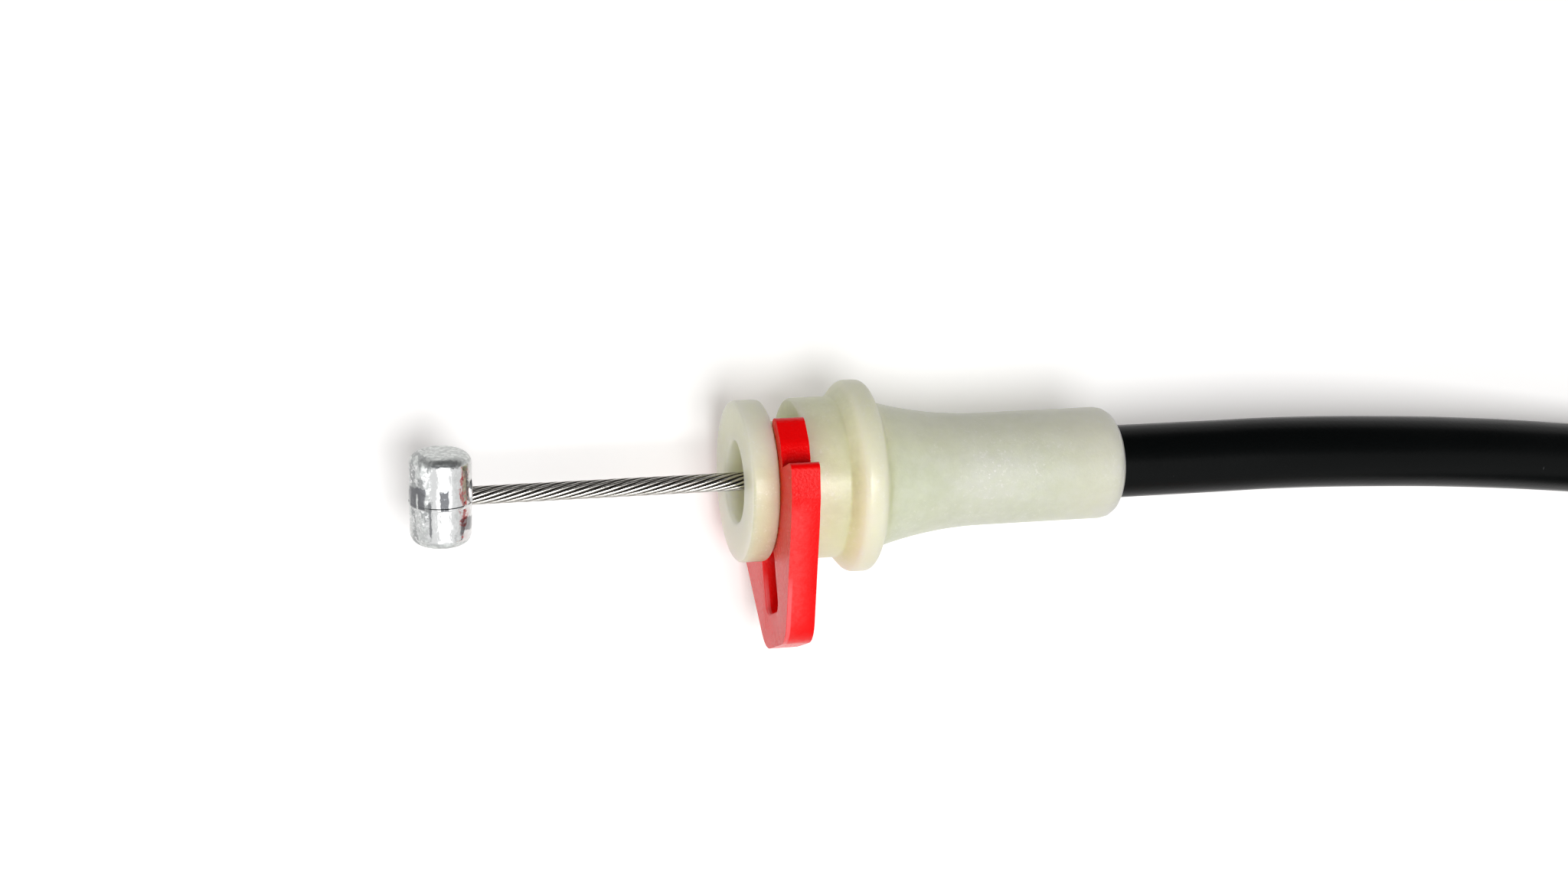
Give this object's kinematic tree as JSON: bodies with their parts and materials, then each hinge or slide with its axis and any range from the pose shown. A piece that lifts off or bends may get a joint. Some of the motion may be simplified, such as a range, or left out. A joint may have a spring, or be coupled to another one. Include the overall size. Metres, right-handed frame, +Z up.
{
  "type": "bowden release cable",
  "caption": "Bowden release cable: stranded wire in a jacketed conduit, with a barrel nipple, a moulded ferrule and a forked lock clip at each end; slack wound and tied.",
  "frame": {"origin": "on the near ferrule's axis, where its drum meets the flange", "axes": "+X runs along the near end from its nipple towards the conduit, +Y is away from the lock clip's thumb tab, +Z is up; the part stands on z = -9.74 mm, on the lower shoulders of its two lock clips and on the coil's ties"},
  "size_m": [0.1845, 0.0995, 0.0196],
  "materials": {
    "zinc": "bright as-cast zinc alloy",
    "wire": "drawn stainless wire",
    "nylon": "natural translucent nylon, satin",
    "lock_red": "red acetal, semi-gloss",
    "liner": "white low-friction plastic",
    "armour": "wound flat steel wire",
    "jacket": "black satin jacket",
    "tie": "dark flexible strap"
  },
  "bodies": {
    "conduit": {"near_ferrule": "nylon", "near_liner": "liner", "near_armour": "armour", "near_jacket": "jacket", "sheath_lead": "jacket", "sheath_coil": "jacket", "sheath_tail": "jacket", "coil_tie_a": "tie", "coil_tie_b": "tie", "far_ferrule": "nylon", "far_liner": "liner", "far_armour": "armour", "far_jacket": "jacket"},
    "near_wire": {"near_nipple": "zinc", "near_wire_core": "wire", "near_wire_strands": "wire"},
    "far_wire": {"far_nipple": "zinc", "far_wire_core": "wire", "far_wire_strands": "wire"},
    "near_clip": {"near_clip": "lock_red"},
    "far_clip": {"far_clip": "lock_red"}
  },
  "joints": [
    {"name": "near_wire_pull", "type": "slide", "parent": "conduit", "child": "near_wire", "axis": [-1, 0, 0], "range_m": [-0.0209, 0.0119]},
    {"name": "far_wire_pull", "type": "slide", "parent": "conduit", "child": "far_wire", "axis": [-1, 0, 0], "range_m": [-0.0119, 0.0209]},
    {"name": "near_clip_pull", "type": "slide", "parent": "conduit", "child": "near_clip", "axis": [0, -0.9903, 0.1392], "range_m": [0, 0.022]},
    {"name": "far_clip_pull", "type": "slide", "parent": "conduit", "child": "far_clip", "axis": [0, 0.9903, 0.1392], "range_m": [0, 0.022]}
  ],
  "couplings": [
    {"joint": "far_wire_pull", "follows": "near_wire_pull", "ratio": -1}
  ]
}
